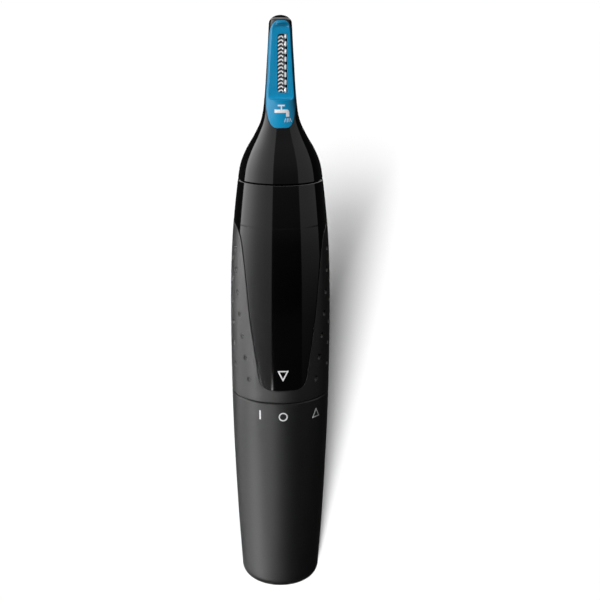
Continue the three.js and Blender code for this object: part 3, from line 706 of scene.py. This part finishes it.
def neck_housing():
    """The glossy bottle neck and the tube's back and tip, open in front where the guard sits."""
    roll = HEAD_ROLL
    grow = 0.06 + roll
    surface = Skin()
    arcs = np.radians(np.linspace(0, 90, 14))
    start_z = NECK_BOTTOM + NECK_LEDGE + roll / 2
    bottom = np.linspace(start_z, GUARD_BOTTOM - 0.1, 60)
    foot = GUARD_BOTTOM + 3 * (1 - np.cos(arcs[1:]))
    crown = GUARD_TOP + 0.02 - 2 * (1 - np.sin(arcs))
    middle = np.arange(foot[-1] + 0.3, crown[0] - 0.1, 0.4)
    window = np.concatenate([foot, middle, crown])
    dome_height = LENGTH - DOME_START

    def edge(z):
        return guard_azimuth(z, grow)

    def back(rows, start, count=73):
        share = np.linspace(0, 1, count)[None, :]
        azimuth = start[:, None] + (360 - 2 * start[:, None]) * share
        return on_skin(azimuth, rows[:, None] + 0 * azimuth)

    def front(rows, start, count=17):
        azimuth = start[:, None] * np.linspace(-1, 1, count)[None, :]
        return on_skin(azimuth, rows[:, None] + 0 * azimuth)

    below = np.full(len(bottom), edge(bottom[-1:])[0])
    surface.add(back(bottom, below))
    surface.add(front(bottom, below))
    for around in (np.linspace(below[0], 360 - below[0], 73), np.linspace(-below[0], below[0], 17)):
        surface.add(ledge(around[None, :], start_z, -NECK_LEDGE))
    rows = np.concatenate([bottom[-1:], window])
    surface.add(back(rows, edge(rows)))
    top_edge = edge(window[-1:])[0]
    start = math.asin((window[-1] - DOME_START) / dome_height)
    rise = np.linspace(start, math.radians(88), 14)[:, None]

    def tip(azimuths):
        angle = np.radians(azimuths)[None, :]
        r, z = SILHOUETTE[-1, 1] * np.cos(rise), DOME_START + dome_height * np.sin(rise)
        return np.stack([r * np.sin(angle), -r * np.cos(angle), z + 0 * angle], -1)

    surface.add(tip(top_edge + (360 - 2 * top_edge) * np.linspace(0, 1, 73)))
    surface.add(tip(top_edge * np.linspace(-1, 1, 17)))
    bm = surface.bmesh(0.002)
    hole = [e for e in bm.edges if e.is_boundary and all(v.co.z > LENGTH - 0.1 for v in e.verts)]
    bmesh.ops.contextual_create(bm, geom=hole)
    bm.normal_update()
    bm = thicken(bm, NECK_WALL, roll, 3)
    obj = wear(to_object("neck_housing_skin", bm), "gloss_black")
    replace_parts(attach(obj, "cutting_head"), "neck_housing")


# ---- Printed marks ------------------------------------------------------------------------------

PRINT_HEIGHT = 0.012


def stroke(points, width, closed=False, step=0.12):
    """A flat ribbon of constant width along a line in the plane, as pairs of its two sides."""
    points = [np.array(p, float) for p in points]
    if closed:
        points.append(points[0])
    centre = [points[0]]
    for a, b in zip(points, points[1:]):
        count = max(1, round(np.linalg.norm(b - a) / step))
        centre += [a + (b - a) * k / count for k in range(1, count + 1)]
    centre = np.array(centre)
    before, after = np.roll(centre, 1, 0), np.roll(centre, -1, 0)
    if closed:
        before[0], after[-1] = centre[-2], centre[1]
    else:
        before[0], after[-1] = centre[0], centre[-1]
    into, out = centre - before, after - centre
    if not closed:
        into[0], out[-1] = out[0], into[-1]
    into /= np.linalg.norm(into, axis=1)[:, None]
    out /= np.linalg.norm(out, axis=1)[:, None]
    tangent = into + out
    tangent /= np.linalg.norm(tangent, axis=1)[:, None]
    side = np.stack([-tangent[:, 1], tangent[:, 0]], -1)
    mitre = np.maximum(np.sum(side * np.stack([-into[:, 1], into[:, 0]], -1), 1), 0.4)
    reach = side * (width / 2 / mitre)[:, None]
    return np.stack([centre + reach, centre - reach], 1)


def printed(name, ribbons, azimuth, height, body, place=None):
    """Lays flat ribbons on the outer surface as thin ink, around a middle at an azimuth and a height."""
    bm = bmesh.new()
    for ribbon in ribbons:
        across = np.linspace(0, 1, 4)[None, :, None]
        flat = ribbon[:, :1] * (1 - across) + ribbon[:, 1:] * across
        z = height + flat[..., 1]
        turn = azimuth + np.degrees(flat[..., 0] / skin(z))
        layers = []
        for proud in (PRINT_HEIGHT, -0.05):
            on = on_skin(turn, z, proud) if place is None else place(flat[..., 0], z, proud)
            layers.append([[bm.verts.new(p) for p in row] for row in on])
        top, under = layers
        rows, columns = len(top), len(top[0])
        for i in range(rows - 1):
            for j in range(columns - 1):
                for layer in layers:
                    bm.faces.new([layer[i][j], layer[i][j + 1], layer[i + 1][j + 1], layer[i + 1][j]])
            for j in (0, columns - 1):
                bm.faces.new([top[i][j], top[i + 1][j], under[i + 1][j], under[i][j]])
        for i in (0, rows - 1):
            for j in range(columns - 1):
                bm.faces.new([top[i][j], top[i][j + 1], under[i][j + 1], under[i][j]])
    bmesh.ops.remove_doubles(bm, verts=bm.verts, dist=1e-4)
    obj = wear(to_object(name, bm), "print_white")
    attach(obj, body)


def switch_marks():
    """I, O and an outlined triangle on the base, and the handle's pointer."""
    circle = [(0.98 * math.cos(a), 0.98 * math.sin(a)) for a in np.linspace(0, 2 * math.pi, 40)[:-1]]
    printed("mark_off", [stroke(circle, 0.3, True)], 0, 49.2, "battery_base")
    printed("mark_on", [stroke([(0, -1.18), (0, 1.18)], 0.42)], -27.6, 49.4, "battery_base")
    triangle = [(-1.1, -0.95), (1.1, -0.95), (0, 1.12)]
    printed("mark_unlock", [stroke(triangle, 0.24, True)], 43.6, 48.9, "battery_base")
    pointer = [(-1.14, 1.1), (1.14, 1.1), (0, -1.18)]
    printed("mark_pointer", [stroke(pointer, 0.32, True)], -0.3, 60.1, "handle")


def tap_mark():
    """A plain tap over running water on the guard: it can be rinsed."""

    def place(x, z, proud):
        on = guard_front(x + 0.15, z)
        away = np.stack([on[..., 0], on[..., 1], 0 * on[..., 2]], -1)
        return on + away / np.linalg.norm(away, axis=-1)[..., None] * proud

    bend = [(1.05 + 0.3 * math.sin(a), 0.1 + 0.3 * math.cos(a)) for a in np.radians([0, 30, 60, 90])]
    body = [(-1.75, 0.4), (0.95, 0.4)] + bend + [(1.35, -0.9)]
    ribbons = [
        stroke(body, 0.78),
        stroke([(-0.15, 0.7), (-0.15, 1.65)], 0.3),
        stroke([(-1.0, 1.72), (0.7, 1.72)], 0.36),
    ]
    drops = [(0.85, 0.6), (1.25, 1.2), (1.6, 1.7), (1.95, 2.25)]
    ribbons += [stroke([(above, -1.3), (below, -2.15)], 0.14) for above, below in drops]
    printed("mark_rinse", ribbons, 0, 123.45, "cutting_head", place)


# ---- Cutter -------------------------------------------------------------------------------------


def plate(bm, outline, y0, y1):
    """Adds a flat plate whose outline is seen from the front, between two depths."""
    front = [bm.verts.new((x, y0, z)) for x, z in outline]
    back = [bm.verts.new((x, y1, z)) for x, z in outline]
    bm.faces.new(front)
    bm.faces.new(back[::-1])
    for i in range(len(outline)):
        j = (i + 1) % len(outline)
        bm.faces.new([front[i], back[i], back[j], front[j]])


def bevelled(bm, width, segments=2):
    bmesh.ops.bevel(bm, geom=list(bm.edges), offset=width, segments=segments, affect="EDGES", profile=0.5)
    return bm


TEETH = 15
TOOTH_PITCH = 0.9
TOOTH_WIDTH = 0.34
LAND_COUNT = 8
LAND_X, LAND_WIDTH, LAND_LENGTH = 1.13, 0.46, 1.15
COMB_DEPTH = 0.22  # how far the comb's front lies behind the flat face
COMB_ENDS = (127.6, 143)
BLADE_ENDS = (128.3, 142.1)


def bar(bm, start, end, width, y0, y1):
    """A straight bar seen from the front, from one [x, z] to another, with well rounded edges."""
    along = np.subtract(end, start) / np.linalg.norm(np.subtract(end, start))
    side = np.array([-along[1], along[0]]) * width / 2
    outline = [start - side, end - side, end + side, start + side]
    made = bmesh.new()
    plate(made, [tuple(p) for p in outline], y0, y1)
    bevelled(made, min(width, y1 - y0) * 0.32, 3)
    mesh = bpy.data.meshes.new("bar")
    made.to_mesh(mesh)
    made.free()
    bm.from_mesh(mesh)
    bpy.data.meshes.remove(mesh)


def comb_front(z):
    """Depth of the comb's front at a height: it leans with the guard's flat face."""
    along = (z - FACE_BOTTOM[1]) / (FACE_TOP[1] - FACE_BOTTOM[1])
    return FACE_BOTTOM[0] + (FACE_TOP[0] - FACE_BOTTOM[0]) * along + COMB_DEPTH


def fixed_comb():
    """The comb behind the slot: hooked steel teeth down the left, and a row of lands down the right."""
    y1 = high("fixed_comb")[1]
    bm = bmesh.new()
    for i in range(TEETH):
        z = SLOT_ENDS[0] + 0.55 + i * TOOTH_PITCH
        hook = np.array([[-0.95, z - 0.4], [-0.02, z + 0.22], [0.38, z + 0.2], [0.54, z - 0.22]])
        for start, end in zip(hook, hook[1:]):
            bar(bm, start, end, TOOTH_WIDTH, comb_front(z), y1)
    for i in range(LAND_COUNT):
        z = SLOT_ENDS[0] + 0.2 + i * 2 * TOOTH_PITCH
        bar(bm, np.array([LAND_X, z]), np.array([LAND_X, z + LAND_LENGTH]), LAND_WIDTH, comb_front(z), y1)
    bottom, top = COMB_ENDS
    for left, right in ((-1.2, -0.85), (1.55, 1.72)):
        plate(bm, [(left, bottom), (right, bottom), (right, top), (left, top)], y1 - 0.2, y1)
    obj = wear(to_object("fixed_comb_teeth", bm, 50), "blade_steel")
    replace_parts(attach(obj, "cutting_head"), "fixed_comb")


def moving_blade():
    """The blade behind the comb: short teeth that sweep its left half, on a spine behind the lands. Its steel
    is painted dark, as painted shade for the shadowed space behind the comb.
    """
    y0, y1 = low("moving_blade")[1], high("moving_blade")[1]
    bm = bmesh.new()
    for i in range(TEETH):
        z = SLOT_ENDS[0] + 0.6 + i * TOOTH_PITCH
        bar(bm, np.array([-0.85, z]), np.array([-0.05, z - 0.2]), TOOTH_WIDTH, y0 - 0.55, y0 + 0.12)
    bottom, top = BLADE_ENDS
    for left, right, thickness in ((-0.1, 1.2, 0.15), (-0.9, -0.1, 0.25)):
        plate(bm, [(left, bottom), (right, bottom), (right, top), (left, top)], y1 - thickness, y1)
    # painted shade: the dark steel tone stands in for the shade that falls behind the comb
    obj = wear(to_object("moving_blade_teeth", bm, 50), "shade_painted_steel")
    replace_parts(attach(obj, "cutter"), "moving_blade")


# ---- CAD nodes that stay ------------------------------------------------------------------------


def finish_cad_nodes():
    """Gives each CAD node that stays in view the finish of its slot."""
    slots = {row["node"]: row["material_slot"] for row in frame["record"]["subparts"]}
    for name, obj in frame["nodes"].items():
        if not obj.hide_render:
            wear(obj, slots[name])


# ---- Studio -------------------------------------------------------------------------------------

CAMERA_AZIMUTH = -3.3
VIEW_RISE = 9.0  # how steeply the camera looks down on the middle of the handle's upper half
PANEL_DISTANCE = 3  # metres from the trimmer to the light panels
PANEL_HEIGHT = 0.08
FLOOR_RADIUS = 9000
FLOOR_GLOW = 0.11
WORLD_ON_OBJECTS = 0.02


def floor():
    """A pale floor that the glossy body does not mirror."""
    bm = bmesh.new()
    bmesh.ops.create_circle(bm, cap_ends=True, segments=96, radius=FLOOR_RADIUS)
    obj = to_object("floor", bm)
    finish = Finish("floor_pale", (0.9, 0.9, 0.9), 0.9, Specular_IOR_Level=0.0)
    finish.shader.inputs["Emission Color"].default_value = (1, 1, 1, 1)
    finish.shader.inputs["Emission Strength"].default_value = FLOOR_GLOW
    obj.data.materials.append(finish.material)
    obj.visible_glossy = False
    obj.visible_diffuse = False
    obj.visible_shadow = False
    return obj


def mirrored(azimuth, tilt):
    """Where a surface that faces an azimuth, tilted upwards, mirrors the camera's view to."""
    azimuth, tilt = np.radians(azimuth), np.radians(tilt)
    rise = math.radians(VIEW_RISE)
    normal = np.stack([np.sin(azimuth) * np.cos(tilt), -np.cos(azimuth) * np.cos(tilt), np.sin(tilt)], -1)
    view = np.array([0, -math.cos(rise), math.sin(rise)])
    out = 2 * (normal @ view)[..., None] * normal - view
    turn = math.radians(CAMERA_AZIMUTH)
    c, s = math.cos(turn), math.sin(turn)
    return np.stack([c * out[..., 0] - s * out[..., 1], s * out[..., 0] + c * out[..., 1], out[..., 2]], -1)


def softbox(name, by_azimuth, by_tilt):
    """A light panel, laid out by the surfaces that mirror it.

    by_azimuth holds (azimuth from the camera's side, brightness) and by_tilt holds (tilt, share of it).
    """
    azimuths, tones = np.array(by_azimuth, float).T
    tilts, shares = np.array(by_tilt, float).T
    across = np.linspace(azimuths[0], azimuths[-1], 25)
    up = np.linspace(tilts[0], tilts[-1], 17)
    points = mirrored(*np.meshgrid(across, up)) * PANEL_DISTANCE + (0, 0, PANEL_HEIGHT)
    levels = np.outer(np.interp(up, tilts, shares), np.interp(across, azimuths, tones))
    rows, columns = levels.shape
    faces = [
        (i * columns + j, i * columns + j + 1, (i + 1) * columns + j + 1, (i + 1) * columns + j)
        for i in range(rows - 1) for j in range(columns - 1)
    ]
    mesh = bpy.data.meshes.new(name)
    mesh.from_pydata(points.reshape(-1, 3).tolist(), [], faces)
    mesh.attributes.new("level", "FLOAT", "POINT").data.foreach_set("value", levels.ravel())
    obj = bpy.data.objects.new(name, mesh)
    bpy.context.scene.collection.objects.link(obj)
    material = bpy.data.materials.new(name)
    material.use_nodes = True
    tree = material.node_tree
    tree.nodes.clear()
    output = tree.nodes.new("ShaderNodeOutputMaterial")
    emission = tree.nodes.new("ShaderNodeEmission")
    attribute = tree.nodes.new("ShaderNodeAttribute")
    attribute.attribute_name = "level"
    tree.links.new(attribute.outputs["Fac"], emission.inputs["Strength"])
    tree.links.new(emission.outputs["Emission"], output.inputs["Surface"])
    mesh.materials.append(material)
    obj.visible_camera = False
    obj.visible_shadow = False
    obj.visible_diffuse = False


def lamp(name, energy, spread, rise, azimuth, receivers):
    """A far lamp that lights one group of objects; its angles are degrees from level and from the camera."""
    data = bpy.data.lights.new(name, "SUN")
    data.energy = energy
    data.angle = math.radians(spread)
    obj = bpy.data.objects.new(name, data)
    obj.rotation_euler = (math.radians(90 - rise), 0, math.radians(CAMERA_AZIMUTH + azimuth))
    obj.visible_glossy = False
    obj.light_linking.receiver_collection = receivers
    bpy.context.scene.collection.objects.link(obj)


def lamps(ground):
    """One lamp for what is matt on the trimmer, and a low one whose soft shadow runs back to the right."""
    on_floor = bpy.data.collections.new("on_floor")
    on_floor.objects.link(ground)
    off_floor = bpy.data.collections.new("off_floor")
    off_floor.objects.link(ground)
    off_floor.collection_objects[0].light_linking.link_state = "EXCLUDE"
    lamp("side_light", 4.6, 12, 27, -30, off_floor)
    lamp("floor_light", 18.0, 6, 10, -5.2, on_floor)


def studio_lights():
    softbox(
        "softbox_left",
        [(-57, 3.1), (-50, 2.65), (-42, 2.2), (-36, 1.64), (-30, 1.18), (-24, 0.93), (-18, 0.77), (-10, 0.7)],
        [(-14, 0.1), (-8, 0.25), (-6, 0.55), (-2.6, 0.65), (2, 0.8), (6, 1.0), (17, 1.15), (38, 1.3)],
    )
    softbox(
        "softbox_right",
        [(25, 0.47), (40, 0.45), (52, 0.4)],
        [(-14, 0.03), (-6, 0.1), (-2.6, 0.25), (2, 0.6), (6, 1.0), (17, 1.1), (38, 1.2)],
    )
    softbox("softbox_front", [(-10, 0.16), (25, 0.16)], [(-3, 0), (2, 0.1), (6, 0.6), (17, 1.0), (38, 1.6)])
    softbox("softbox_top", [(-80, 1.0), (-40, 2.0), (0, 3.2), (40, 1.6), (80, 0.9)], [(44, 1), (60, 1)])
    softbox(
        "softbox_low",
        [(-42, 0), (-34, 34), (-26, 50), (-8, 0)],
        [(-21, 0), (-12, 0.17), (-9, 2.0), (-6.5, 5.0)],
    )
    softbox("softbox_grip", [(-56, 0), (-47, 50), (-41, 100)], [(-9, 0.6), (-6, 1), (-3.6, 1)])


def world():
    """White to the camera, and nearly dark to everything that the light falls on."""
    made = bpy.data.worlds.new("studio")
    bpy.context.scene.world = made
    made.use_nodes = True
    tree = made.node_tree
    background = tree.nodes["Background"]
    seen = tree.nodes.new("ShaderNodeLightPath")
    strength = tree.nodes.new("ShaderNodeMapRange")
    strength.inputs["To Min"].default_value = WORLD_ON_OBJECTS
    strength.inputs["To Max"].default_value = 1.0
    tree.links.new(seen.outputs["Is Camera Ray"], strength.inputs["Value"])
    tree.links.new(strength.outputs["Result"], background.inputs["Strength"])
    background.inputs["Color"].default_value = (1, 1, 1, 1)


def camera():
    """A short telephoto, a little above the trimmer and to the left of its front."""
    distance, height, pitch = 0.2782, 0.1532, 15.45
    data = bpy.data.cameras.new("camera")
    data.sensor_width = 36
    data.lens = 68.52
    data.shift_x = 0.0327
    data.shift_y = -0.0018
    data.clip_start = 0.01
    data.clip_end = 20
    obj = bpy.data.objects.new("camera", data)
    angle = math.radians(CAMERA_AZIMUTH)
    obj.location = (distance * math.sin(angle), -distance * math.cos(angle), height)
    obj.rotation_euler = (math.radians(90 - pitch), 0, angle)
    bpy.context.scene.collection.objects.link(obj)
    bpy.context.scene.camera = obj


camera()
world()
studio_lights()
lamps(floor())
bpy.context.scene.view_settings.view_transform = "Standard"

battery_housing()
grip_sleeve()
handle_shell()
guard_face()
neck_housing()
fixed_comb()
moving_blade()
switch_marks()
tap_mark()
finish_cad_nodes()
